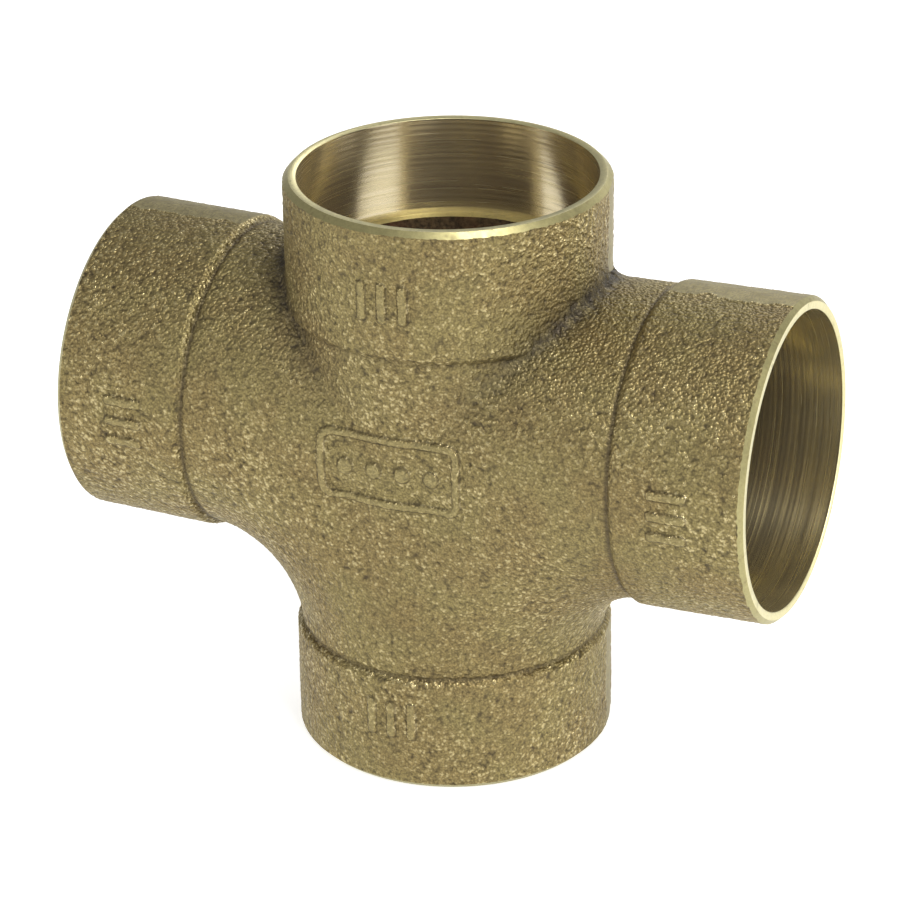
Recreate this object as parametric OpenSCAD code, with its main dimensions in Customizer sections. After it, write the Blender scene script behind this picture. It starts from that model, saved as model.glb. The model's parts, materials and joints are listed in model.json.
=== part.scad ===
// Cast bronze cross fitting for drainage tube: a vertical run with two opposed
// arms that sweep down into the bottom outlet, and a solder cup at each end.
// The real fitting is a single sand casting, so the model is one solid.
//
// Frame: the origin is the centre of the bottom cup's end face, +Z points up
// the run, +X points along the right arm and -Y is the marked front.

/* [Solder cups] */
// Outside diameter of the tube that the cups take
tube_od = 41.275; // [40.5:0.005:42]
// Gap on the radius between the tube and the cup
cup_gap = 0.0625; // [0.05:0.0125:0.2]
// Depth of each cup, from its end face to the tube stop
cup_depth = 14.3; // [12:0.1:15]
// Thickness of the wall around each cup
cup_wall = 1.78; // [1.5:0.01:2.2]
// Chamfer turned on the outer edge of each end face
rim_chamfer = 0.7; // [0.2:0.05:1]

/* [Waterway] */
// Inside diameter of the cored waterway
bore_d = 38.1; // [36:0.1:39]
// Thickness of the body wall around the waterway
body_wall = 2.75; // [2.2:0.05:2.8]
// Radius of the sweeps, measured on the centreline of the passage
sweep_centre_r = 33.5; // [31:0.5:34]

/* [Layout] */
// From the crossing of the axes up to the top end face
top_length = 35.7; // [34:0.1:42]
// From the crossing of the axes down to the bottom end face
bottom_length = 48.4; // [48:0.1:56]
// From the crossing of the axes out to each arm's end face
arm_length = 50.7; // [50:0.1:58]
// Drainage slope of the arms, in degrees (1/4 inch per foot)
arm_pitch = 1.19; // [0:0.01:1.5]

/* [Hubs] */
// Length of the thicker hub at the top end
top_hub_length = 18; // [16:0.5:19]
// Length of the thicker hub at the bottom end
bottom_hub_length = 16; // [15.5:0.5:17]
// Length of the thicker hub on each arm
arm_hub_length = 18; // [16:0.5:19]
// Length of the slope from the body up to a hub
hub_ramp = 1.2; // [0.4:0.1:2]
// Depth ground off the parting line on the sides of each hub
ground_depth = 0.2; // [0.05:0.05:0.4]

/* [Raised marks] */
// Width of the raised frame on the front of the body
frame_w = 21; // [16:0.5:24]
// Height of the raised frame
frame_h = 10.5; // [8:0.5:12]
// Width of the line that draws the frame
frame_line = 1; // [0.6:0.1:1.4]
// Radius of the frame's outer corners
frame_corner = 2; // [1.5:0.25:3]
// Number of raised dots inside the frame
dot_count = 4; // [2:1:5]
// Radius of one raised dot
dot_r = 1.1; // [0.6:0.1:1.3]
// Height of the marks above the surface
mark_rise = 0.45; // [0.2:0.05:0.8]
// Number of raised tally bars on each hub
bar_count = 3; // [1:1:4]
// Length of one tally bar, along the hub's axis
bar_length = 5.5; // [3:0.5:8]
// Width of one tally bar
bar_width = 1.2; // [0.8:0.1:1.6]
// Distance from one tally bar to the next
bar_spacing = 3; // [2:0.25:3.5]
// From a hub's end face to the middle of its tally bars
bar_inset = 10.5; // [9:0.5:11]

/* [Hidden] */
$fn = 96;

cup_r = tube_od / 2 + cup_gap;
hub_r = cup_r + cup_wall;
bore_r = bore_d / 2;
body_r = bore_r + body_wall;

// The arms are a hair slimmer than the run, and the sweeps a hair slimmer than
// the arms, so that no two of their surfaces only graze each other.
skin_step = 0.1;
arm_slimmer = skin_step;
sweep_slimmer = 2 * skin_step;

sweep_angle = 90 - arm_pitch;
sweep_drop = sweep_centre_r * tan(sweep_angle / 2);

cut = 1;
dot_spacing = (frame_w - 2 * frame_line) / (dot_count + 0.5);

// Places its children, drawn along +Z from the crossing, on the run or an arm.
module along_top() { children(); }
module along_bottom() { rotate([0, 180, 0]) children(); }
module along_right_arm() { rotate([0, 90 - arm_pitch, 0]) children(); }
module along_left_arm() { rotate([0, arm_pitch - 90, 0]) children(); }

// Outline of one end as [radius, distance from the crossing], from the body of
// radius r out to the end face.
function end_profile(length, hub_length, r) = [
    [r, length - hub_length - hub_ramp],
    [hub_r, length - hub_length],
    [hub_r, length - rim_chamfer],
    [hub_r - rim_chamfer, length],
    [0, length],
];

// The same outline as seen on the way in from an end face below the crossing.
function mirrored_profile(points) =
    [for (i = [len(points) - 1 : -1 : 0]) [points[i][0], -points[i][1]]];

// Slabs that take the parting line's flats off the two sides of a hub.
module ground_flats(length, hub_length) {
    for (side = [-1, 1])
        translate([side * (hub_r - ground_depth + cut), 0, length - hub_length / 2])
            cube([2 * cut, 2 * hub_r, hub_length], center = true);
}

// Tally bars on the front of a hub.
module tally_bars(length) {
    intersection() {
        translate([0, 0, length - bar_inset - bar_length])
            cylinder(r = hub_r + mark_rise, h = 2 * bar_length);
        for (i = [0 : bar_count - 1])
            translate([(i - (bar_count - 1) / 2) * bar_spacing, -hub_r, length - bar_inset])
                cube([bar_width, 4, bar_length], center = true);
    }
}

module arm_outside() {
    r = body_r - arm_slimmer;
    difference() {
        rotate_extrude()
            polygon(concat([[0, 0], [r, 0]], end_profile(arm_length, arm_hub_length, r)));
        ground_flats(arm_length, arm_hub_length);
    }
    tally_bars(arm_length);
}

// The run with both of its ends, drawn as one turned solid.
module run_outside() {
    difference() {
        rotate_extrude()
            polygon(concat(
                mirrored_profile(end_profile(bottom_length, bottom_hub_length, body_r)),
                end_profile(top_length, top_hub_length, body_r)
            ));
        along_top() ground_flats(top_length, top_hub_length);
        along_bottom() ground_flats(bottom_length, bottom_hub_length);
    }
    along_top() tally_bars(top_length);
    along_bottom() tally_bars(bottom_length);
}

// Bend of round section r that joins the run to the right arm.
module right_sweep(r) {
    translate([sweep_centre_r, 0, -sweep_drop])
        rotate([90, 0, 0])
            rotate([0, 0, 90 + arm_pitch])
                rotate_extrude(angle = sweep_angle)
                    translate([sweep_centre_r, 0])
                        circle(r = r);
}

module sweeps(r) {
    right_sweep(r);
    mirror([1, 0, 0]) right_sweep(r);
}

// Solder cup of one end, opening outwards.
module cup(length) {
    translate([0, 0, length - cup_depth])
        cylinder(r = cup_r, h = cup_depth + cut);
}

module arm_waterway() {
    cylinder(r = bore_r - arm_slimmer, h = arm_length);
    cup(arm_length);
}

module waterway() {
    translate([0, 0, -bottom_length])
        cylinder(r = bore_r, h = bottom_length + top_length);
    along_top() cup(top_length);
    along_bottom() cup(bottom_length);
    along_right_arm() arm_waterway();
    along_left_arm() arm_waterway();
    sweeps(bore_r - sweep_slimmer);
}

module rounded_rectangle(w, h, r) {
    square([w - 2 * r, h], center = true);
    square([w, h - 2 * r], center = true);
    for (x = [-1, 1], y = [-1, 1])
        translate([x * (w / 2 - r), y * (h / 2 - r)])
            circle(r = r);
}

// Outline of the frame and its row of dots, centred on the crossing.
module front_mark_outline() {
    difference() {
        rounded_rectangle(frame_w, frame_h, frame_corner);
        rounded_rectangle(frame_w - 2 * frame_line, frame_h - 2 * frame_line,
                          frame_corner - frame_line);
    }
    for (i = [0 : dot_count - 1])
        translate([(i - (dot_count - 1) / 2) * dot_spacing, 0])
            circle(r = dot_r);
}

// The frame and dots stand the same height above run, arms and sweeps alike.
module front_mark() {
    intersection() {
        union() {
            cylinder(r = body_r + mark_rise, h = frame_w, center = true);
            rotate([0, 90, 0])
                cylinder(r = body_r - arm_slimmer + mark_rise, h = 2 * frame_w, center = true);
            sweeps(body_r - sweep_slimmer + mark_rise);
        }
        translate([0, -body_r / 2, 0])
            rotate([90, 0, 0])
                linear_extrude(height = body_r)
                    front_mark_outline();
    }
}

module cast_body() {
    color([0.56, 0.48, 0.31])
        translate([0, 0, bottom_length])
            difference() {
                union() {
                    run_outside();
                    along_right_arm() arm_outside();
                    along_left_arm() arm_outside();
                    sweeps(body_r - sweep_slimmer);
                    front_mark();
                }
                waterway();
            }
}

cast_body();
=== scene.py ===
"""Visual model of a sand-cast bronze cross fitting, made the way the real one is.

A rough casting is shaped first, as a distance field with filleted valleys, raised marks and a
pebbled skin. Its hubs are then ground along the parting line, and the end faces and solder cups
are cut into it with turned cutters, so that machined edges meet the cast skin as they do on metal.

Shapes are worked out in millimetres from the crossing of the axes; meshes are in metres.
"""

import json
import math

import bpy
import numpy as np
import openvdb
from mathutils import Matrix, Vector


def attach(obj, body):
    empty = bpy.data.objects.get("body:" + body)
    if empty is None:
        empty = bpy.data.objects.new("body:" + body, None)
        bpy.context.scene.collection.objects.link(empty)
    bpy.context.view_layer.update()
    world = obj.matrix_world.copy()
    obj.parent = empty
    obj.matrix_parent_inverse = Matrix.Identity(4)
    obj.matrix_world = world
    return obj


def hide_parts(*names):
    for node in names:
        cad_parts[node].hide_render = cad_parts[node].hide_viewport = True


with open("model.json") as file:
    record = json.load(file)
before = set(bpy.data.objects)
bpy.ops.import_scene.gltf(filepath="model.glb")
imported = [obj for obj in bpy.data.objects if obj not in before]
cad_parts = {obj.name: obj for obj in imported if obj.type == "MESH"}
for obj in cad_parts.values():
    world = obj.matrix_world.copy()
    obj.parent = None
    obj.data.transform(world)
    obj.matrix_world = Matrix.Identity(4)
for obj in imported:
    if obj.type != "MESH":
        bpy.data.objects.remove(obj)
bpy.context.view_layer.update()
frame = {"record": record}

MM = 0.001
TINY = 1e-6

# ---------------------------------------------------------------------------
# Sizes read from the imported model
# ---------------------------------------------------------------------------

MOUNTS = {m["name"]: m for m in frame["record"]["mounts"]}
RIGHT_AXIS = np.array(MOUNTS["right_cup"]["axis"], float)
RIGHT_FACE = np.array(MOUNTS["right_cup"]["pos_m"], float) / MM
ARM_LENGTH = RIGHT_FACE[0] / RIGHT_AXIS[0]
CROSSING = RIGHT_FACE - ARM_LENGTH * RIGHT_AXIS
TOP_LENGTH = MOUNTS["top_cup"]["pos_m"][2] / MM - CROSSING[2]
BOTTOM_LENGTH = CROSSING[2] - MOUNTS["bottom_cup"]["pos_m"][2] / MM
CUP_R = MOUNTS["top_cup"]["dims"]["r_mm"]
CUP_DEPTH = MOUNTS["top_cup"]["dims"]["length_mm"]

# ---------------------------------------------------------------------------
# Sizes of the casting, in mm, as in the CAD source
# ---------------------------------------------------------------------------

CUP_WALL = 1.78
HUB_R = CUP_R + CUP_WALL
BORE_R = 19.05
BODY_WALL = 2.75
BODY_R = BORE_R + BODY_WALL
SWEEP_R = 33.5
ARM_SLIMMER = 0.1
SWEEP_SLIMMER = 0.2
TOP_HUB = 18.0
BOTTOM_HUB = 16.0
ARM_HUB = 18.0
HUB_RAMP = 1.2
RIM_CHAMFER = 0.7

FRAME_W = 21.0
FRAME_H = 10.5
FRAME_LINE = 1.0
FRAME_CORNER = 2.0
DOT_COUNT = 4
DOT_R = 1.1
BAR_COUNT = 3
BAR_LENGTH = 5.5
BAR_WIDTH = 1.2
BAR_SPACING = 3.0
BAR_INSET = 10.5
BAR_CORNER = 0.4
MARK_RISE = 0.45

# ---------------------------------------------------------------------------
# What only the visual model has
# ---------------------------------------------------------------------------

VALLEY_FILLET = 2.6
THROAT_FILLET = 2.0
CORE_FILLET = 3.0
LEAST_FILLET = 1e-4
WIDEST_OPENING = 1.3
GROOVE_WIDTH = 0.34
RUN_TOP_GROOVE = 0.07
RUN_BOTTOM_GROOVE = 0.15
ARM_GROOVE = 0.22
MARK_EDGE = 0.3
# How far the rough casting stands past each end face, and the core past each tube stop.
OVERCAST = 1.6
CORE_OVERRUN = 1.5

# How finely the surfaces are sampled, in mm, and in how many pieces.
SKIN_VOXEL = 0.23
CORE_VOXEL = 0.6
BLOCK = 4
NEAR_BLOCKS = 1.3
CHUNK = 400000
PULLS = 2
SLOPE_STEP = 0.05
LATHE_STEPS = 288

# Index of each surface's material.
CAST, CORE, GROUND, CUP_RUN, CUP_ARM, FACE_CUT, CHAMFER = range(7)


def unit(v):
    """A vector of length 1 in the same direction."""
    v = np.array(v, float)
    return v / np.linalg.norm(v)


class End:
    """One end of the fitting: its axis, pointing out from the crossing, and its lengths."""

    def __init__(self, name, axis, length, hub_length, groove_depth):
        self.name = name
        self.axis = unit(axis)
        self.length = length
        self.base = length - hub_length
        self.groove_depth = groove_depth
        self.side = unit(np.cross([0, 1, 0], self.axis))

    def local(self, points):
        """Along the axis, and the two coordinates across it: sideways, and towards the back."""
        return points @ self.axis, points @ self.side, points[:, 1]


TOP = End("top", [0, 0, 1], TOP_LENGTH, TOP_HUB, RUN_TOP_GROOVE)
BOTTOM = End("bottom", [0, 0, -1], BOTTOM_LENGTH, BOTTOM_HUB, RUN_BOTTOM_GROOVE)
RIGHT = End("right", RIGHT_AXIS, ARM_LENGTH, ARM_HUB, ARM_GROOVE)
LEFT = End("left", RIGHT_AXIS * [-1, 1, 1], ARM_LENGTH, ARM_HUB, ARM_GROOVE)
ENDS = (TOP, BOTTOM, RIGHT, LEFT)


# ---------------------------------------------------------------------------
# Noise
# ---------------------------------------------------------------------------

# Primes and shifts of an integer hash.
X_PRIME, Y_PRIME, Z_PRIME, SEED_PRIME = 73856093, 19349663, 83492791, 2654435761
MIX_FACTOR = 1274126177
FIRST_SHIFT, LAST_SHIFT = 13, 16
WORD = 0xFFFFFFFF

# The smallest pebble's radius in cells, how much more the largest has, and how much lower than
# wide ones small ones are.
PEBBLE_REACH = 0.7
REACH_SPREAD = 0.4
SMALL_DROP = 0.4


def hashed(ix, iy, iz, seed):
    """A repeatable number from 0 to 1 for each lattice point."""
    n = ix * X_PRIME ^ iy * Y_PRIME ^ iz * Z_PRIME ^ seed * SEED_PRIME
    n = (n ^ (n >> FIRST_SHIFT)) & WORD
    n = (n * MIX_FACTOR) & WORD
    n = (n ^ (n >> LAST_SHIFT)) & WORD
    return n.astype(np.float64) / WORD


def value_noise(points, size, seed):
    """Smooth noise from -1 to 1 whose features are about size mm across."""
    p = points / size
    cell = np.floor(p).astype(np.int64)
    t = p - cell
    t = t * t * (3 - 2 * t)
    total = np.zeros(len(points))
    for dx in (0, 1):
        wx = t[:, 0] if dx else 1 - t[:, 0]
        for dy in (0, 1):
            wy = t[:, 1] if dy else 1 - t[:, 1]
            for dz in (0, 1):
                wz = t[:, 2] if dz else 1 - t[:, 2]
                corner = hashed(cell[:, 0] + dx, cell[:, 1] + dy, cell[:, 2] + dz, seed)
                total += wx * wy * wz * corner
    return 2 * total - 1


def pebbles(points, size, seed):
    """Rounded bumps from 0 to about 1, of uneven size, packed about size mm apart."""
    p = points / size
    cell = np.floor(p).astype(np.int64)
    best = np.zeros(len(points))
    for dx in (-1, 0, 1):
        for dy in (-1, 0, 1):
            for dz in (-1, 0, 1):
                ix, iy, iz = cell[:, 0] + dx, cell[:, 1] + dy, cell[:, 2] + dz
                ox = ix + hashed(ix, iy, iz, seed) - p[:, 0]
                oy = iy + hashed(ix, iy, iz, seed + 1) - p[:, 1]
                oz = iz + hashed(ix, iy, iz, seed + 2) - p[:, 2]
                reach = PEBBLE_REACH + REACH_SPREAD * hashed(ix, iy, iz, seed + 3)
                bump = 1 - (ox * ox + oy * oy + oz * oz) / (reach * reach)
                best = np.maximum(best, bump * (1 - SMALL_DROP + SMALL_DROP * reach))
    return best


# ---------------------------------------------------------------------------
# Distance field of the casting
# ---------------------------------------------------------------------------

def smoothstep(low, high, x):
    """Rises smoothly from 0 at low to 1 at high."""
    t = np.clip((x - low) / (high - low), 0, 1)
    return t * t * (3 - 2 * t)


def filleted_union(a, b, size):
    """Joins two (distance, normal) fields, with a fillet where their surfaces meet at an angle.

    Where the two run side by side the normals agree and nothing is added."""
    da, na = a
    db, nb = b
    opening = np.clip(1 - np.einsum("ij,ij->i", na, nb), 0, WIDEST_OPENING)
    k = size * opening + LEAST_FILLET
    share = np.clip(0.5 + 0.5 * (db - da) / k, 0, 1)
    distance = db + (da - db) * share - k * share * (1 - share)
    normal = nb + (na - nb) * share[:, None]
    length = np.linalg.norm(normal, axis=1, keepdims=True)
    return distance, normal / np.maximum(length, TINY)


def groove(along, end):
    """From 0 to 1, the narrow groove at the foot of a hub's slope."""
    return np.exp(-(((along - end.base + HUB_RAMP) / GROOVE_WIDTH) ** 2))


def hub_rise(along, end):
    """Height over the body of a hub with its slope and the groove at its foot."""
    rise = smoothstep(end.base - HUB_RAMP, end.base, along)
    return (HUB_R - BODY_R) * rise - end.groove_depth * groove(along, end)


def run_field(points, r, hubs):
    """The vertical tube, of radius r, without ends."""
    x, y, z = points.T
    radial = np.hypot(x, y)
    normal = np.stack([x, y, np.zeros_like(x)], 1) / np.maximum(radial, TINY)[:, None]
    distance = radial - r
    if hubs:
        distance = distance - hub_rise(z, TOP) - hub_rise(-z, BOTTOM)
    return distance, normal


def arm_field(points, r, hubs):
    """Both arms, as one arm mirrored at x = 0, without ends."""
    side = np.where(points[:, 0] < 0, -1.0, 1.0)
    p = points.copy()
    p[:, 0] *= side
    along = p @ RIGHT.axis
    across = p - along[:, None] * RIGHT.axis
    radial = np.linalg.norm(across, axis=1)
    normal = across / np.maximum(radial, TINY)[:, None]
    normal[:, 0] *= side
    distance = radial - (r - ARM_SLIMMER)
    if hubs:
        distance = distance - hub_rise(along, RIGHT)
    return distance, normal


def sweep_field(points, r):
    """Both bends from the arms down into the bottom outlet, as one mirrored at x = 0."""
    pitch = math.asin(RIGHT.axis[2])
    drop = SWEEP_R * math.tan((math.pi / 2 - pitch) / 2)
    side = np.where(points[:, 0] < 0, -1.0, 1.0)
    x = points[:, 0] * side - SWEEP_R
    y = points[:, 1]
    z = points[:, 2] + drop
    angle = np.arctan2(z, x)
    angle = np.where(angle < -math.pi / 4, math.pi, angle)
    angle = np.clip(angle, math.pi / 2 + pitch, math.pi)
    nx = x - SWEEP_R * np.cos(angle)
    nz = z - SWEEP_R * np.sin(angle)
    radial = np.sqrt(nx * nx + y * y + nz * nz)
    normal = np.stack([nx * side, y, nz], 1) / np.maximum(radial, TINY)[:, None]
    return radial - (r - SWEEP_SLIMMER), normal


def passage(points, r, reach, hubs, valley, throat):
    """Run, arms and sweeps of radius r as one filleted body, out to reach beyond each end."""
    body = filleted_union(run_field(points, r, hubs), arm_field(points, r, hubs), valley)
    distance = filleted_union(body, sweep_field(points, r), throat)[0]
    for end in ENDS:
        distance = np.maximum(distance, points @ end.axis - end.length - reach)
    return distance


def raised(edge_distance):
    """Height of a mark, from the distance inside its outline."""
    return MARK_RISE * smoothstep(-MARK_EDGE, MARK_EDGE, edge_distance)


def rectangle_inside(x, y, w, h, corner):
    """Distance inside a rounded rectangle, negative outside it."""
    qx = np.abs(x) - (w / 2 - corner)
    qy = np.abs(y) - (h / 2 - corner)
    outside = np.hypot(np.maximum(qx, 0), np.maximum(qy, 0))
    return corner - outside - np.minimum(np.maximum(qx, qy), 0)


def marks(points):
    """Height of the frame, dots and tally bars cast on the front."""
    height = np.zeros(len(points))
    front = points[:, 1] < 0
    p = points[front]
    x, z = p[:, 0], p[:, 2]
    border = rectangle_inside(x, z, FRAME_W, FRAME_H, FRAME_CORNER)
    found = raised(FRAME_LINE / 2 - np.abs(border - FRAME_LINE / 2))
    spacing = (FRAME_W - 2 * FRAME_LINE) / (DOT_COUNT + 0.5)
    for i in range(DOT_COUNT):
        centre = (i - (DOT_COUNT - 1) / 2) * spacing
        found = np.maximum(found, raised(DOT_R - np.hypot(x - centre, z)))
    for end in ENDS:
        along, across, _ = end.local(p)
        for i in range(BAR_COUNT):
            offset = across - (i - (BAR_COUNT - 1) / 2) * BAR_SPACING
            middle = along - (end.length - BAR_INSET)
            inside = rectangle_inside(offset, middle, BAR_WIDTH, BAR_LENGTH, BAR_CORNER)
            found = np.maximum(found, raised(inside))
    height[front] = found
    return height


def skin(points):
    """Distance to the outside of the casting before its grain."""
    body = passage(points, BODY_R, OVERCAST, True, VALLEY_FILLET, THROAT_FILLET)
    return body - marks(points)


def core(points):
    """Distance to the sand core that leaves the waterway."""
    reach = CORE_OVERRUN - CUP_DEPTH
    return passage(points, BORE_R, reach, False, CORE_FILLET, CORE_FILLET)


def slope(field, points):
    """Unit gradient of a field."""
    parts = []
    for axis in range(3):
        shift = np.zeros(3)
        shift[axis] = SLOPE_STEP
        parts.append(field(points + shift) - field(points - shift))
    g = np.stack(parts, 1)
    return g / np.maximum(np.linalg.norm(g, axis=1, keepdims=True), TINY)


def surface_mesh(field, voxel, low, high):
    """Vertices and quads of the field's zero surface, pulled onto it exactly.

    The field is sampled once for each block of voxels, then finely near the surface only."""
    low = np.array(low, float)
    size = np.ceil((np.array(high) - low) / voxel / BLOCK).astype(int)
    middles = (np.indices(size).reshape(3, -1).T + 0.5) * BLOCK - 0.5
    coarse = field(low + middles * voxel).reshape(size)
    near = np.abs(coarse) < BLOCK * voxel * NEAR_BLOCKS
    grid = np.where(coarse > 0, 1, -1).astype(np.float32)
    for axis in range(3):
        grid = grid.repeat(BLOCK, axis)
        near = near.repeat(BLOCK, axis)
    cells = np.argwhere(near)
    for start in range(0, len(cells), CHUNK):
        part = cells[start:start + CHUNK]
        grid[tuple(part.T)] = np.clip(field(low + part * voxel), -1, 1)
    volume = openvdb.FloatGrid(1.0)
    volume.copyFromArray(grid)
    points, quads = volume.convertToQuads(isovalue=0.0)
    points = points.astype(float) * voxel + low
    for _ in range(PULLS):
        points -= field(points)[:, None] * slope(field, points)
    return points, quads.astype(np.int64)


# ---------------------------------------------------------------------------
# Cast skin: grain, pits and ground strips
# ---------------------------------------------------------------------------

PEBBLE_SIZE = 0.74
PEBBLE_HEIGHT = 0.2
FINE_SIZE = 0.5
FINE_HEIGHT = 0.12
GRAIN_MEAN = 0.42
PATCH_SIZE = 11.0
PATCH_SPREAD = 0.25
WAVE_SIZE = 7.0
WAVE_HEIGHT = 0.06
# How much calmer the grain is on the marks, for each mm of a groove's depth, and at the most.
MARK_CALM = 0.2
GROOVE_CALM = 4.0
MOST_CALM = 0.8

# The valleys above the arms: (width, height where it fades in, height where it is full).
TORN_VALLEY = (1.6, 8, 16)
# The next two place painted shade along the valleys: a dark line in each crease, a wider band.
DARK_VALLEY = (1.7, 4, 15)
VALLEY_SHADE_BAND = (4.6, -12, 12)
TEAR_DEPTH = 0.3
TEAR_SIZES = (1.3, 0.7)
TEAR_SHARES = (0.6, 0.4)
TEAR_MEAN = 0.3

SEAM_RISE = 0.22
SEAM_WIDTH = 0.3
SEAM_PLANE = -0.8
SEAM_WAVER = 0.35
SEAM_WAVER_SIZE = 5.0
SEAM_BREAK_SIZE = 2.4

STRIP_DEPTH = 0.05
STRIP_PITS = 0.03
STRIP_UNEVEN = 0.02
STRIP_UNEVEN_SIZE = 3.0
# How steeply a strip's bed rises near its edges, and the share of its width that is always cut.
STRIP_EDGE = 0.5
STRIP_EDGE_POWER = 8
STRIP_FULL = 0.85
STRIP_LIMIT = 1.1
# Wandering of a strip's edges, as shares of its half width, and its sizes in mm.
STRIP_WAVER = 0.15
STRIP_WAVER_SIZE = 2.5
STRIP_RAG = 0.07
STRIP_RAG_SIZE = 0.8
# How far a strip runs down the hub's slope, and how far off the hub a point may be.
STRIP_START = 0.3
NEAR_HUB = 0.5
# Each strip's middle, as an angle from the hub's side towards the back, and its half width.
RUN_STRIP = (math.radians(-15), math.radians(9))
ARM_STRIP = (math.radians(-12), math.radians(14))


def crevice(points, width, bottom, top):
    """From 0 to 1, how close a point is to the valleys between the run and the arms.

    It fades in from the bottom height to the top height."""
    run, run_normal = run_field(points, BODY_R, True)
    arm, arm_normal = arm_field(points, BODY_R, True)
    opening = np.clip(1 - np.einsum("ij,ij->i", run_normal, arm_normal), 0, 1)
    near = np.exp(-(((run - arm) / width) ** 2))
    return near * opening * smoothstep(bottom, top, points[:, 2])


def grooves(points):
    """Depth in mm of the grooves at the feet of all four hubs."""
    found = np.zeros(len(points))
    for end in ENDS:
        along, across, back = end.local(points)
        on_neck = np.hypot(across, back) < HUB_R
        depth = end.groove_depth * groove(along, end)
        found = np.maximum(found, np.where(on_neck, depth, 0))
    return found


def waves(points):
    """Slow undulation of the cast skin."""
    return WAVE_HEIGHT * value_noise(points, WAVE_SIZE, seed=3)


def grain(points):
    """Height of the cast skin over its smooth shape."""
    rough = 1 - PATCH_SPREAD + PATCH_SPREAD * value_noise(points, PATCH_SIZE, seed=5)
    rough *= 1 - MARK_CALM * marks(points) / MARK_RISE
    rough *= 1 - np.minimum(GROOVE_CALM * grooves(points), MOST_CALM)
    bumps = pebbles(points, PEBBLE_SIZE, seed=11) - GRAIN_MEAN
    small = pebbles(points, FINE_SIZE, seed=31) - GRAIN_MEAN
    height = rough * (PEBBLE_HEIGHT * bumps + FINE_HEIGHT * small) + waves(points)
    torn = TEAR_SHARES[0] * value_noise(points, TEAR_SIZES[0], seed=17)
    torn += TEAR_SHARES[1] * value_noise(points, TEAR_SIZES[1], seed=18)
    height += TEAR_DEPTH * (torn - TEAR_MEAN) * crevice(points, *TORN_VALLEY)
    return height + seam(points)


def seam(points):
    """Height of the broken ridge that the mould's parting plane leaves on the necks."""
    y = points[:, 1]
    waver = SEAM_WAVER * value_noise(points, SEAM_WAVER_SIZE, seed=51)
    broken = smoothstep(-0.5, 0.5, value_noise(points, SEAM_BREAK_SIZE, seed=52))
    neck = np.ones(len(points))
    for end in ENDS:
        neck *= smoothstep(end.base - HUB_RAMP, end.base - 2 * HUB_RAMP, points @ end.axis)
    offset = y - SEAM_PLANE - waver
    return SEAM_RISE * broken * neck * np.exp(-((offset / SEAM_WIDTH) ** 2))


def grind(points):
    """Cuts the parting line's strips on the sides of each hub. Returns points and what was cut."""
    ground = np.zeros(len(points), bool)
    for end in ENDS:
        centre, half = ARM_STRIP if end in (RIGHT, LEFT) else RUN_STRIP
        along, across, back = end.local(points)
        radial = np.hypot(across, back)
        waver = STRIP_WAVER * value_noise(points, STRIP_WAVER_SIZE, seed=41)
        waver += STRIP_RAG * value_noise(points, STRIP_RAG_SIZE, seed=42)
        uneven = STRIP_UNEVEN * value_noise(points, STRIP_UNEVEN_SIZE, seed=40)
        bed = HUB_R - STRIP_DEPTH + uneven
        for side in (-1, 1):
            angle = (np.arctan2(-back, side * across) - centre) / half + waver
            level = bed + STRIP_EDGE * angle ** STRIP_EDGE_POWER
            on_hub = (along > end.base - STRIP_START) & (radial < HUB_R + NEAR_HUB)
            strip = on_hub & (np.abs(angle) < STRIP_LIMIT)
            cut = strip & ((radial > level) | (np.abs(angle) < STRIP_FULL))
            target = np.clip(radial[cut], level[cut] - STRIP_PITS, level[cut])
            middle = along[cut, None] * end.axis
            points[cut] = middle + (points[cut] - middle) * (target / radial[cut])[:, None]
            ground |= cut
    return points, ground


# ---------------------------------------------------------------------------
# Meshes
# ---------------------------------------------------------------------------

def new_mesh(name, points, faces, material):
    """A mesh object in metres in the row frame, from points in mm from the crossing."""
    mesh = bpy.data.meshes.new(name)
    count, corners = len(faces), faces.shape[1]
    mesh.vertices.add(len(points))
    mesh.vertices.foreach_set("co", ((points + CROSSING) * MM).astype(np.float32).ravel())
    mesh.loops.add(count * corners)
    mesh.loops.foreach_set("vertex_index", faces.astype(np.int32).ravel())
    mesh.polygons.add(count)
    mesh.polygons.foreach_set("loop_start", np.arange(0, count * corners, corners, dtype=np.int32))
    mesh.polygons.foreach_set("material_index", np.broadcast_to(material, count).astype(np.int32))
    mesh.update(calc_edges=True)
    mesh.validate()
    obj = bpy.data.objects.new(name, mesh)
    bpy.context.scene.collection.objects.link(obj)
    return obj


# Room left around the shapes that are sampled, in mm.
ARM_ROOM = 4
RUN_ROOM = 3
SIDE_ROOM = 2

CORE_GRIT = 0.12
CORE_GRIT_SIZE = 1.6
CORE_WAVES = 0.1
CORE_WAVE_SIZE = 5.0


def blank():
    """The rough casting, solid, with its ends left long for facing."""
    low = [-RIGHT.length - ARM_ROOM, -HUB_R - SIDE_ROOM, -BOTTOM.length - RUN_ROOM]
    high = [RIGHT.length + ARM_ROOM, HUB_R + SIDE_ROOM, TOP.length + RUN_ROOM]
    points, quads = surface_mesh(skin, SKIN_VOXEL, low, high)
    points += slope(skin, points) * grain(points)[:, None]
    points, ground = grind(points)
    material = np.where(ground[quads].all(axis=1), GROUND, CAST)
    return new_mesh("blank", points, quads, material)


def sand_core():
    """The waterway, as the core that leaves it."""
    low = [-RIGHT.length, -BORE_R - SIDE_ROOM, -BOTTOM.length]
    high = [RIGHT.length, BORE_R + SIDE_ROOM, TOP.length]
    points, quads = surface_mesh(core, CORE_VOXEL, low, high)
    rough = CORE_GRIT * value_noise(points, CORE_GRIT_SIZE, seed=61)
    rough += CORE_WAVES * value_noise(points, CORE_WAVE_SIZE, seed=62)
    points += slope(core, points) * rough[:, None]
    return new_mesh("sand_core", points, quads, CORE)


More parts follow.
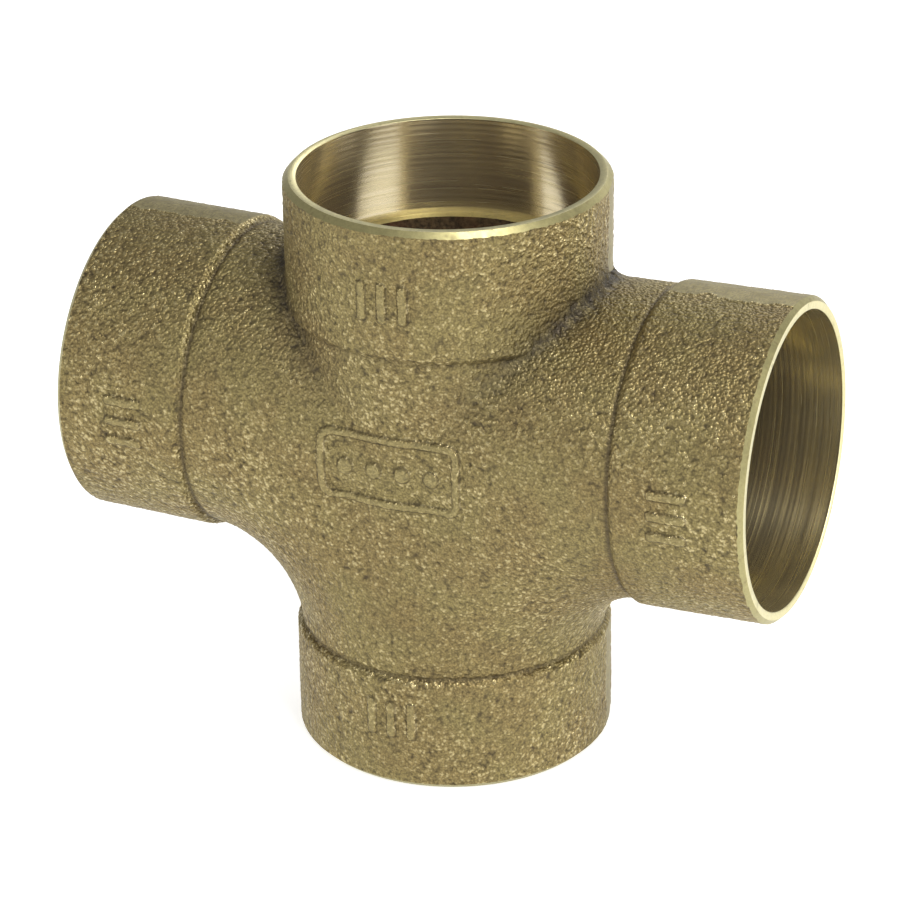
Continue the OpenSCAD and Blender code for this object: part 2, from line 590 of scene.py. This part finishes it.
RING_PITCH = 0.85
RING_DEPTH = 0.02
RING_SPREAD = 0.4
RING_SPREAD_SIZE = 1.3
RING_STEP = 0.17
MOUTH_BREAK = 0.12
TOOL_CLEARANCE = 1.0


def cup_outline(end):
    """Outline of a cup's wall as (along, radius) from the tube stop to the mouth, with tool rings."""
    floor = end.length - CUP_DEPTH
    lip = end.length - MOUTH_BREAK
    along = np.arange(floor, lip, RING_STEP)
    ring = np.abs(np.sin(math.pi * (along - floor) / RING_PITCH))
    level = np.zeros(len(along))
    noise = value_noise(np.stack([along, level, level], 1), RING_SPREAD_SIZE, seed=71)
    vary = 1 - RING_SPREAD + RING_SPREAD * noise
    radius = CUP_R + RING_DEPTH * ring * vary
    return [*zip(along, radius), (lip, CUP_R), (end.length, CUP_R + MOUTH_BREAK)]


def cutter(end):
    """Turned solid that faces one end, chamfers its rim and bores its cup."""
    arm = end in (RIGHT, LEFT)
    cup = cup_outline(end)
    outer = HUB_R + TOOL_CLEARANCE
    back = end.length + OVERCAST + TOOL_CLEARANCE
    outline = [(end.length - CUP_DEPTH, 0.0), *cup]
    outline += [
        (end.length, HUB_R - RIM_CHAMFER),
        (end.length - RIM_CHAMFER - TOOL_CLEARANCE, outer),
        (back, outer),
        (back, 0.0),
    ]
    wall = CUP_ARM if arm else CUP_RUN
    materials = [FACE_CUT] + [wall] * (len(cup) - 2) + [FACE_CUT, FACE_CUT]
    materials += [CHAMFER] * (len(outline) - 1 - len(materials))
    return turned("cutter_" + end.name, end, outline, materials)


def turned(name, end, outline, materials):
    """Closed solid turned about an end's axis. The outline starts and stops on the axis."""
    turn = np.arange(LATHE_STEPS) * 2 * math.pi / LATHE_STEPS
    spoke = np.outer(np.cos(turn), end.side) + np.outer(np.sin(turn), [0, 1, 0])
    rings = [a * end.axis + r * spoke for a, r in outline[1:-1]]
    first = outline[0][0] * end.axis
    last = outline[-1][0] * end.axis
    points = np.concatenate([*rings, [first, last]])
    here = np.arange(LATHE_STEPS)
    after = (here + 1) % LATHE_STEPS
    faces, kinds = [], []
    for i in range(len(rings) - 1):
        a, b = i * LATHE_STEPS, (i + 1) * LATHE_STEPS
        faces += [[a + h, a + n, b + n, b + h] for h, n in zip(here, after)]
        kinds += [materials[i + 1]] * LATHE_STEPS
    centre, rim = len(points) - 2, 0
    faces += [[centre, rim + n, rim + h] for h, n in zip(here, after)]
    kinds += [materials[0]] * LATHE_STEPS
    centre, rim = len(points) - 1, (len(rings) - 1) * LATHE_STEPS
    faces += [[centre, rim + h, rim + n] for h, n in zip(here, after)]
    kinds += [materials[-1]] * LATHE_STEPS
    mesh = bpy.data.meshes.new(name)
    mesh.from_pydata(((points + CROSSING) * MM).tolist(), [], faces)
    mesh.polygons.foreach_set("material_index", kinds)
    mesh.update()
    obj = bpy.data.objects.new(name, mesh)
    bpy.context.scene.collection.objects.link(obj)
    return obj


def cut_away(body, tool, slots):
    """Takes a tool's solid out of a body, keeping the material index of both."""
    for obj in (body, tool):
        while len(obj.data.materials) < len(slots):
            obj.data.materials.append(slots[len(obj.data.materials)])
    cut = body.modifiers.new("cut", "BOOLEAN")
    cut.operation = "DIFFERENCE"
    cut.solver = "MANIFOLD"
    cut.material_mode = "INDEX"
    cut.object = tool
    graph = bpy.context.evaluated_depsgraph_get()
    result = bpy.data.meshes.new_from_object(body.evaluated_get(graph))
    body.modifiers.clear()
    body.data = result
    bpy.data.objects.remove(tool)


def finish_shading(obj):
    """Smooth faces, with a crease where two kinds of surface meet, but not around ground strips."""
    mesh = obj.data
    corners = len(mesh.loops)
    edge_of = np.empty(corners, np.int32)
    mesh.loops.foreach_get("edge_index", edge_of)
    sizes = np.empty(len(mesh.polygons), np.int32)
    mesh.polygons.foreach_get("loop_total", sizes)
    kinds = np.empty(len(mesh.polygons), np.int32)
    mesh.polygons.foreach_get("material_index", kinds)
    kind_of = np.repeat(kinds, sizes)
    low = np.full(len(mesh.edges), len(FINISHES))
    high = np.full(len(mesh.edges), -1)
    np.minimum.at(low, edge_of, kind_of)
    np.maximum.at(high, edge_of, kind_of)
    mesh.polygons.foreach_set("use_smooth", np.ones(len(mesh.polygons), bool))
    rubbed = (low == CAST) & (high == GROUND)
    mesh.edges.foreach_set("use_edge_sharp", (low != high) & ~rubbed)
    mesh.update()


def store_relief(obj):
    """Keeps what the skin's material needs at each vertex.

    The relief is the height over the smooth casting in mm; the others run from 0 to 1."""
    mesh = obj.data
    co = np.empty(len(mesh.vertices) * 3, np.float32)
    mesh.vertices.foreach_get("co", co)
    points = co.reshape(-1, 3).astype(float) / MM - CROSSING
    for name, values in (
        ("relief", np.clip(skin(points) - waves(points), -1, 1)),
        # Painted shade: the next two along the valleys, and the groove in the hub grooves.
        ("crevice", crevice(points, *DARK_VALLEY)),
        ("valley_shade", crevice(points, *VALLEY_SHADE_BAND)),
        ("mark", marks(points) / MARK_RISE),
        ("groove", grooves(points) / RIGHT.groove_depth),
    ):
        layer = mesh.attributes.new(name, "FLOAT", "POINT")
        layer.data.foreach_set("value", values.astype(np.float32))


# ---------------------------------------------------------------------------
# Materials
# ---------------------------------------------------------------------------

class Finish:
    """Builds one node material. Lengths in its patterns are in millimetres."""

    def __init__(self, name):
        self.material = bpy.data.materials.new(name)
        self.material.use_nodes = True
        self.tree = self.material.node_tree
        self.tree.nodes.clear()
        out = self.tree.nodes.new("ShaderNodeOutputMaterial")
        self.shader = self.tree.nodes.new("ShaderNodeBsdfPrincipled")
        self.link(self.shader.outputs[0], out.inputs["Surface"])
        coordinates = self.tree.nodes.new("ShaderNodeTexCoord")
        self.place = self.vector("SCALE", coordinates.outputs["Object"], scale=1 / MM)

    def link(self, source, target):
        self.tree.links.new(source, target)

    def feed(self, target, value):
        """Sets an input from another node's output or from a constant."""
        if isinstance(value, bpy.types.NodeSocket):
            self.link(value, target)
        else:
            target.default_value = value

    def set(self, **inputs):
        for name, value in inputs.items():
            self.feed(self.shader.inputs[name.replace("_", " ")], value)

    def vector(self, operation, a, b=None, scale=None):
        node = self.tree.nodes.new("ShaderNodeVectorMath")
        node.operation = operation
        self.feed(node.inputs[0], a)
        if b is not None:
            self.feed(node.inputs[1], b)
        if scale is not None:
            self.feed(node.inputs["Scale"], scale)
        return node.outputs["Value" if operation == "DOT_PRODUCT" else "Vector"]

    def math(self, operation, a, b=0.0):
        node = self.tree.nodes.new("ShaderNodeMath")
        node.operation = operation
        self.feed(node.inputs[0], a)
        self.feed(node.inputs[1], b)
        return node.outputs[0]

    def noise(self, size, detail=2.0, roughness=0.5, place=None):
        """Noise from 0 to 1 with features about size mm across."""
        node = self.tree.nodes.new("ShaderNodeTexNoise")
        self.feed(node.inputs["Vector"], self.place if place is None else place)
        node.inputs["Scale"].default_value = 1 / size
        node.inputs["Detail"].default_value = detail
        node.inputs["Roughness"].default_value = roughness
        return node.outputs[0]

    def grains(self, size):
        """Packed grains about size mm across: near 1 on top of a grain, near 0 between grains."""
        node = self.tree.nodes.new("ShaderNodeTexVoronoi")
        node.feature = "SMOOTH_F1"
        self.feed(node.inputs["Vector"], self.place)
        node.inputs["Scale"].default_value = 1 / size
        node.inputs["Smoothness"].default_value = 0.35
        return self.ramp(node.outputs["Distance"], 0.15, 0.85, 1.0, 0.0)

    def ramp(self, value, low, high, out_low=0.0, out_high=1.0):
        """Smoothly maps low..high to out_low..out_high."""
        node = self.tree.nodes.new("ShaderNodeMapRange")
        node.interpolation_type = "SMOOTHSTEP"
        for name, number in (("Value", value), ("From Min", low), ("From Max", high),
                             ("To Min", out_low), ("To Max", out_high)):
            self.feed(node.inputs[name], number)
        return node.outputs[0]

    def mix(self, share, a, b):
        """Mixes two colours, a at share 0 and b at share 1."""
        node = self.tree.nodes.new("ShaderNodeMix")
        node.data_type = "RGBA"
        self.feed(node.inputs[0], share)
        for socket, value in ((node.inputs[6], a), (node.inputs[7], b)):
            self.feed(socket, value if isinstance(value, bpy.types.NodeSocket) else (*value, 1))
        return node.outputs[2]

    def attribute(self, name):
        node = self.tree.nodes.new("ShaderNodeAttribute")
        node.attribute_name = name
        return node.outputs["Fac"]

    def bump(self, height, depth, normal=None):
        """A bump whose height of 1 stands for depth mm."""
        node = self.tree.nodes.new("ShaderNodeBump")
        node.inputs["Distance"].default_value = depth * MM
        self.feed(node.inputs["Height"], height)
        if normal is not None:
            self.feed(node.inputs["Normal"], normal)
        return node.outputs[0]

    def about(self, axis):
        """(along, angle around) in mm and radians, about an axis through the crossing."""
        local = self.vector("SUBTRACT", self.place, tuple(CROSSING))
        side = unit(np.cross([0, 1, 0], axis))
        along = self.vector("DOT_PRODUCT", local, tuple(axis))
        across = self.vector("DOT_PRODUCT", local, tuple(side))
        back = self.vector("DOT_PRODUCT", local, (0, 1, 0))
        return along, self.math("ARCTAN2", back, across)

    def join(self, x, y, z):
        node = self.tree.nodes.new("ShaderNodeCombineXYZ")
        for socket, value in zip(node.inputs, (x, y, z)):
            self.feed(socket, value)
        return node.outputs[0]


# Colours as linear RGB: of the cast skin from the painted glint on its grains' tops down to the
# painted shade in its valleys, of the cored waterway, and of cut metal.
# Painted glint on the grains' tops.
GLINT = (0.61, 0.51, 0.265)
WORN_GOLD = (0.42, 0.355, 0.165)
KHAKI = (0.312, 0.253, 0.103)
TAN = (0.3, 0.227, 0.093)
DULL_TAN = (0.225, 0.18, 0.08)
# The next six colours are painted shade: between grains, in grooves, at marks' feet, in valleys.
GAP_SHADE_GREEN = (0.1, 0.08, 0.043)
GAP_SHADE_BROWN = (0.085, 0.065, 0.037)
GROOVE_SHADE = (0.085, 0.065, 0.04)
MARK_FOOT_SHADE = (0.07, 0.055, 0.035)
VALLEY_SHADE = (0.11, 0.09, 0.065)
CREASE_SHADE = (0.04, 0.034, 0.028)
CORE_DARK = (0.05, 0.035, 0.02)
CORE_PALE = (0.17, 0.115, 0.06)
CORE_RED = (0.17, 0.07, 0.035)
GROUND_PALE = (0.36, 0.31, 0.155)
GROUND_DULL = (0.28, 0.24, 0.115)
SCRATCH_DARK = (0.2, 0.165, 0.08)
RUN_CUP_PALE = (0.7, 0.6, 0.36)
RUN_CUP_DULL = (0.66, 0.57, 0.39)
# The arms' cups take darker copies of the run's cup colours, mostly the dull one: painted shade.
ARM_CUP_PALE = (0.68, 0.58, 0.31)
ARM_CUP_DULL = (0.48, 0.43, 0.3)
FACE_PALE = (0.68, 0.62, 0.34)
FACE_DULL = (0.38, 0.33, 0.17)
CHAMFER_PALE = (0.42, 0.375, 0.18)
CHAMFER_DULL = (0.24, 0.2, 0.1)

# Sizes of the patterns and depths of the bumps, in mm.
SAND_SIZE = 0.5
SAND_RELIEF = 0.1
SAND_BUMP = 0.11
FINE_SAND_SIZE = 0.28
FINE_SAND_BUMP = 0.04
GRIT_SIZE = 0.8
SKIN_PATCH_SIZE = 9.0
CORE_GRIT_NOISE = 0.7
CORE_BUMP = 0.25
CORE_PATCH_SIZE = 6.0
SCRATCH_SIZE = 0.22
SCRATCH_BUMP = 0.025
SCRATCH_STRETCH = 0.22
GROUND_PATCH_SIZE = 2.2
TOOL_PITCH = 0.9
TOOL_BUMP = 0.008
STAIN_SIZE = 5.0
SWIRL_SIZE = 0.35
SWIRL_BUMP = 0.01
NICK_SIZE = 1.1


def cast_finish():
    """Sand-cast bronze: khaki-gold grains with painted shade between them and a painted glint on
    their tops; the raised marks are brighter where they are rubbed.
    """
    f = Finish("cast_skin")
    sand = f.grains(SAND_SIZE)
    fine_sand = f.grains(FINE_SAND_SIZE)
    patch = f.noise(SKIN_PATCH_SIZE, 3, 0.55)
    grit = f.noise(GRIT_SIZE, 3, 0.7)
    mark = f.attribute("mark")
    height = f.math("ADD", f.attribute("relief"), f.math("MULTIPLY", sand, SAND_RELIEF))
    depth = f.ramp(height, -0.08, 0.11)
    peak = f.ramp(height, 0.11, 0.23)
    base = f.mix(f.ramp(patch, 0.35, 0.65), KHAKI, TAN)
    base = f.mix(f.ramp(grit, 0.3, 0.7, 0.0, 0.5), base, DULL_TAN)
    # Painted shade in the gaps between the grains and between the fine sand grains.
    dark = f.mix(f.ramp(patch, 0.4, 0.6), GAP_SHADE_GREEN, GAP_SHADE_BROWN)
    colour = f.mix(depth, dark, base)
    colour = f.mix(f.ramp(fine_sand, 0.1, 0.7, 0.4, 0.0), colour, dark)
    # Painted glint on the grains' tops.
    colour = f.mix(f.math("MULTIPLY", peak, 0.75), colour, GLINT)
    colour = f.mix(f.ramp(mark, 0.5, 0.95, 0.0, 0.35), colour, WORN_GOLD)
    # Painted shade along the foot of each raised mark.
    foot = f.math("MULTIPLY", f.ramp(mark, 0.0, 0.12), f.ramp(mark, 0.3, 0.7, 1.0, 0.0))
    colour = f.mix(f.math("MULTIPLY", foot, 0.45), colour, MARK_FOOT_SHADE)
    # Painted shade in the grooves at the feet of the hubs.
    colour = f.mix(f.math("MULTIPLY", f.attribute("groove"), 0.75), colour, GROOVE_SHADE)
    # Painted shade: a wide band along the valleys, then a dark line in each crease.
    valley_shade = f.math("MULTIPLY", f.attribute("valley_shade"), f.ramp(grit, 0.35, 0.65, 0.45, 0.12))
    colour = f.mix(valley_shade, colour, VALLEY_SHADE)
    valley = f.math("MULTIPLY", f.attribute("crevice"), f.ramp(grit, 0.3, 0.6, 1.0, 0.6))
    colour = f.mix(valley, colour, CREASE_SHADE)
    roughness = f.math("ADD", f.ramp(peak, 0, 1, 0.5, 0.26), f.ramp(fine_sand, 0.3, 0.7, 0.05, -0.05))
    normal = f.bump(sand, SAND_BUMP, f.bump(fine_sand, FINE_SAND_BUMP))
    f.set(Base_Color=colour, Metallic=0.9, Roughness=roughness, Normal=normal)
    return f.material


def core_finish():
    """The waterway's rough skin, dark and a little red."""
    f = Finish("cored_waterway")
    grit = f.noise(CORE_GRIT_NOISE, 4, 0.7)
    patch = f.noise(CORE_PATCH_SIZE, 3, 0.55)
    colour = f.mix(f.ramp(grit, 0.3, 0.7), CORE_DARK, CORE_PALE)
    colour = f.mix(f.ramp(patch, 0.45, 0.7, 0, 0.6), colour, CORE_RED)
    roughness = f.ramp(grit, 0.2, 0.8, 0.75, 0.5)
    f.set(Base_Color=colour, Metallic=0.8, Roughness=roughness, Normal=f.bump(grit, CORE_BUMP))
    return f.material


def ground_finish():
    """Where the parting line was ground off: smooth, with fine scratches along the grinding."""
    f = Finish("ground_strip")
    stretched = f.vector("MULTIPLY", f.place, (1.0, SCRATCH_STRETCH, 1.0))
    scratch = f.noise(SCRATCH_SIZE, 3, 0.6, stretched)
    patch = f.noise(GROUND_PATCH_SIZE, 3, 0.6)
    colour = f.mix(f.ramp(patch, 0.35, 0.65), GROUND_PALE, GROUND_DULL)
    colour = f.mix(f.ramp(scratch, 0.35, 0.6), SCRATCH_DARK, colour)
    roughness = f.ramp(scratch, 0.3, 0.7, 0.46, 0.6)
    normal = f.bump(scratch, SCRATCH_BUMP)
    f.set(Base_Color=colour, Metallic=0.85, Roughness=roughness, Normal=normal)
    return f.material


def turned_finish(name, axis, pale, dull, stretch):
    """The lathe-cut wall of a cup: thin rings around its axis, shared by the cup opposite.

    Stretch is how far reflections smear along the axis."""
    f = Finish(name)
    along, angle = f.about(axis)
    along = f.math("ABSOLUTE", along)
    ring_place = f.join(along, f.math("MULTIPLY", angle, 0.12), 0.0)
    line_place = f.join(along, f.math("MULTIPLY", angle, 0.5), 3.0)
    ring = f.noise(TOOL_PITCH * 0.25, 3, 0.6, ring_place)
    line = f.noise(TOOL_PITCH * 0.5, 2, 0.5, line_place)
    stain = f.noise(STAIN_SIZE, 3, 0.6)
    colour = f.mix(f.ramp(ring, 0.3, 0.7), dull, pale)
    colour = f.mix(f.ramp(line, 0.6, 0.72, 0, 0.5), colour, tuple(0.4 * c for c in dull))
    colour = f.mix(f.ramp(stain, 0.5, 0.75, 0, 0.25), colour, tuple(0.8 * c for c in dull))
    tangent = f.tree.nodes.new("ShaderNodeTangent")
    tangent.direction_type = "RADIAL"
    tangent.axis = "Z" if axis is TOP.axis else "X"
    f.set(Base_Color=colour, Metallic=0.92, Roughness=f.ramp(ring, 0.3, 0.7, 0.2, 0.28),
          Anisotropic=stretch, Anisotropic_Rotation=0.25, Tangent=tangent.outputs[0],
          Normal=f.bump(ring, TOOL_BUMP))
    return f.material


def faced_finish(name, pale, dull, roughness):
    """Freshly cut metal on end faces, chamfers and tube stops."""
    f = Finish(name)
    swirl = f.noise(SWIRL_SIZE, 3, 0.6)
    nick = f.noise(NICK_SIZE, 2, 0.5)
    colour = f.mix(f.ramp(swirl, 0.3, 0.7), tuple(0.85 * c for c in pale), pale)
    colour = f.mix(f.ramp(nick, 0.6, 0.75, 0, 0.6), colour, dull)
    worn = f.ramp(nick, 0.3, 0.7, roughness, roughness + 0.1)
    f.set(Base_Color=colour, Metallic=1.0, Roughness=worn, Normal=f.bump(swirl, SWIRL_BUMP))
    return f.material


# In the order of the materials' indices.
FINISHES = [
    cast_finish(),
    core_finish(),
    ground_finish(),
    turned_finish("cup_wall_run", TOP.axis, RUN_CUP_PALE, RUN_CUP_DULL, 0.8),
    # The arms' cups: darker colours as painted shade.
    turned_finish("cup_wall_arms", RIGHT.axis, ARM_CUP_PALE, ARM_CUP_DULL, 0.5),
    faced_finish("faced_rim", FACE_PALE, FACE_DULL, 0.34),
    faced_finish("chamfer", CHAMFER_PALE, CHAMFER_DULL, 0.4),
]


# ---------------------------------------------------------------------------
# The fitting
# ---------------------------------------------------------------------------

def build_fitting():
    """The casting, ground and machined, as one piece."""
    fitting = blank()
    fitting.name = "cast_cross"
    fitting.data.name = "cast_cross"
    for tool in [sand_core()] + [cutter(end) for end in ENDS]:
        cut_away(fitting, tool, FINISHES)
    store_relief(fitting)
    finish_shading(fitting)
    return fitting


fitting = build_fitting()
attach(fitting, "root")
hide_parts("cast_body")


# ---------------------------------------------------------------------------
# Floor, light and camera
# ---------------------------------------------------------------------------

FLOOR_SIZE = 6.0
FLOOR_GLOW = 1.25
FLOOR_PALE = (0.62, 0.62, 0.617)
FLOOR_DULL = (0.6, 0.6, 0.597)
FLOOR_PATCH_SIZE = 60.0
WORLD_STRENGTH = 0.4
# The soft boxes: name, place and size in m, power in W.
BOXES = (
    ("key_box", (0.30, -0.22, 0.65), (0.22, 0.22), 3.4),
    ("right_fill", (0.55, -0.60, 0.06), (0.30, 0.20), 0.9),
    ("right_side", (0.75, 0.25, 0.12), (0.30, 0.30), 2.2),
    ("back_box", (0.05, 0.68, 0.42), (0.50, 0.35), 1.7),
    ("left_fill", (-0.60, -0.50, 0.15), (0.25, 0.25), 0.9),
)

# The camera: turned to the right of the front and raised, at a distance in mm from the crossing,
# and aimed a little below it and to its left, also in mm.
CAMERA_AZIMUTH = math.radians(23.73)
CAMERA_ELEVATION = math.radians(25.09)
CAMERA_ROLL = math.radians(-0.89)
CAMERA_DISTANCE = 502.3
CAMERA_LENS = 143.3
AIM_DROP = 5.7
AIM_LEFT = 0.21


def make_floor():
    """A plain pale floor, glowing a little so that it lights the fitting from below."""
    mesh = bpy.data.meshes.new("floor")
    half = FLOOR_SIZE / 2
    corners = [(-half, -half, 0), (half, -half, 0), (half, half, 0), (-half, half, 0)]
    mesh.from_pydata(corners, [], [(0, 1, 2, 3)])
    floor = bpy.data.objects.new("floor", mesh)
    bpy.context.scene.collection.objects.link(floor)
    f = Finish("floor_paper")
    tint = f.mix(f.noise(FLOOR_PATCH_SIZE, 2, 0.5), FLOOR_DULL, FLOOR_PALE)
    f.set(Base_Color=tint, Roughness=0.9, Emission_Color=tint, Emission_Strength=FLOOR_GLOW)
    mesh.materials.append(f.material)


def soft_box(name, place, size, power):
    """A rectangular light aimed at the crossing."""
    light = bpy.data.lights.new(name, "AREA")
    light.shape = "RECTANGLE"
    light.size, light.size_y = size
    light.energy = power
    obj = bpy.data.objects.new(name, light)
    bpy.context.scene.collection.objects.link(obj)
    obj.location = place
    aim = Vector(CROSSING * MM) - Vector(place)
    obj.rotation_euler = aim.to_track_quat("-Z", "Y").to_euler()


def make_lights():
    """The soft boxes and an even white surround."""
    for box in BOXES:
        soft_box(*box)
    world = bpy.data.worlds.new("studio")
    bpy.context.scene.world = world
    world.use_nodes = True
    background = world.node_tree.nodes["Background"]
    background.inputs["Color"].default_value = (1, 1, 1, 1)
    background.inputs["Strength"].default_value = WORLD_STRENGTH


def make_camera():
    """The camera, looking at the fitting from its front right and from above."""
    a, e = CAMERA_AZIMUTH, CAMERA_ELEVATION
    back = Vector((math.sin(a) * math.cos(e), -math.cos(a) * math.cos(e), math.sin(e)))
    level = Vector((math.cos(a), math.sin(a), 0))
    rise = back.cross(level)
    right = level * math.cos(CAMERA_ROLL) + rise * math.sin(CAMERA_ROLL)
    up = rise * math.cos(CAMERA_ROLL) - level * math.sin(CAMERA_ROLL)
    crossing = Vector(CROSSING * MM)
    eye = crossing + back * CAMERA_DISTANCE * MM
    aim = crossing - up * AIM_DROP * MM - right * AIM_LEFT * MM
    back = (eye - aim).normalized()
    right = up.cross(back).normalized()
    up = back.cross(right)
    lens = bpy.data.cameras.new("camera")
    lens.lens = CAMERA_LENS
    lens.clip_start, lens.clip_end = 0.01, 20
    camera = bpy.data.objects.new("camera", lens)
    bpy.context.scene.collection.objects.link(camera)
    camera.matrix_world = Matrix((
        (right.x, up.x, back.x, eye.x),
        (right.y, up.y, back.y, eye.y),
        (right.z, up.z, back.z, eye.z),
        (0, 0, 0, 1),
    ))
    bpy.context.scene.camera = camera


make_floor()
make_lights()
make_camera()
bpy.context.scene.view_settings.view_transform = "Standard"
